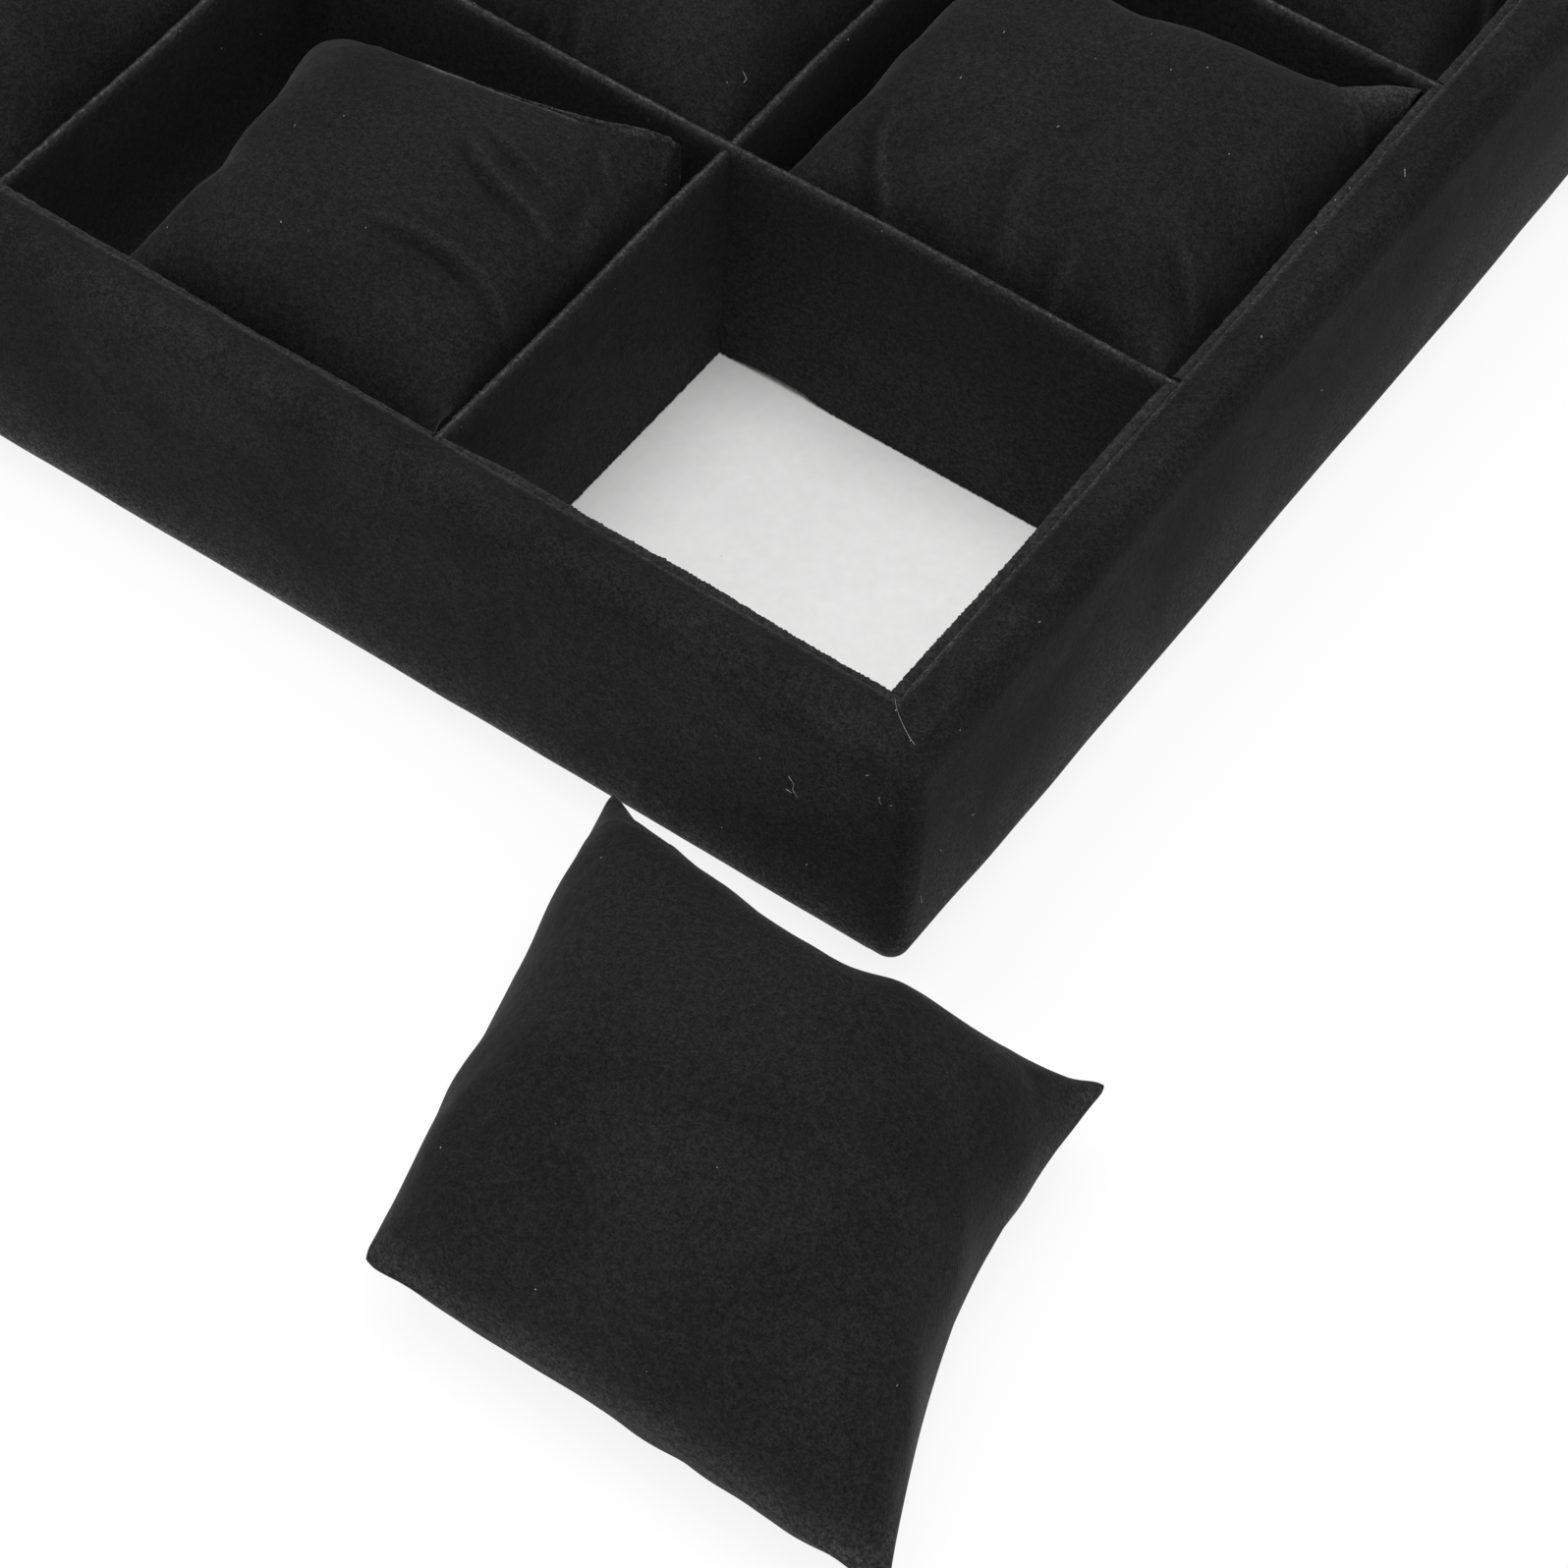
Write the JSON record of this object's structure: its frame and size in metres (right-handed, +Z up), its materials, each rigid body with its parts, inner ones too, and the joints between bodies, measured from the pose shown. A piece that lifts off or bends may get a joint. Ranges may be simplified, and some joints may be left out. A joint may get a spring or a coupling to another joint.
{
  "type": "watch display tray",
  "caption": "Velvet-covered display tray with padded mitred rails, interlocking dividers and watch cushions; one cushion is lifted out beside it.",
  "frame": {"origin": "middle of the tray's flat underside, on the surface it stands on", "axes": "+Z up; +X along the tray's long side, towards the empty cell's end; the empty cell is at the +X, -Y corner and its cushion lies in front of it, towards -Y"},
  "size_m": [0.4092, 0.3402, 0.056],
  "materials": {
    "black_velvet": "black short-pile velvet",
    "cushion_velvet": "black short-pile velvet over soft filling",
    "fibreboard": "raw fibreboard",
    "black_paper": "board wrapped in matt black paper",
    "white_card": "matt white card"
  },
  "bodies": {
    "root": {"base_board": "black_paper", "floor_card": "white_card", "rail_core_front": "fibreboard", "rail_cover_front": "black_velvet", "rail_core_right": "fibreboard", "rail_cover_right": "black_velvet", "rail_core_back": "fibreboard", "rail_cover_back": "black_velvet", "rail_core_left": "fibreboard", "rail_cover_left": "black_velvet", "liner_front": "black_velvet", "liner_back": "black_velvet", "liner_left": "black_velvet", "liner_right": "black_velvet", "long_divider_front": "black_velvet", "long_divider_back": "black_velvet", "short_divider_left": "black_velvet", "short_divider_middle": "black_velvet", "short_divider_right": "black_velvet", "cushion_front_1": "cushion_velvet", "cushion_front_2": "cushion_velvet", "cushion_front_3": "cushion_velvet", "cushion_middle_1": "cushion_velvet", "cushion_middle_2": "cushion_velvet", "cushion_middle_3": "cushion_velvet", "cushion_middle_4": "cushion_velvet", "cushion_back_1": "cushion_velvet", "cushion_back_2": "cushion_velvet", "cushion_back_3": "cushion_velvet", "cushion_back_4": "cushion_velvet", "cushion_lifted_out": "cushion_velvet"}
  },
  "joints": []
}
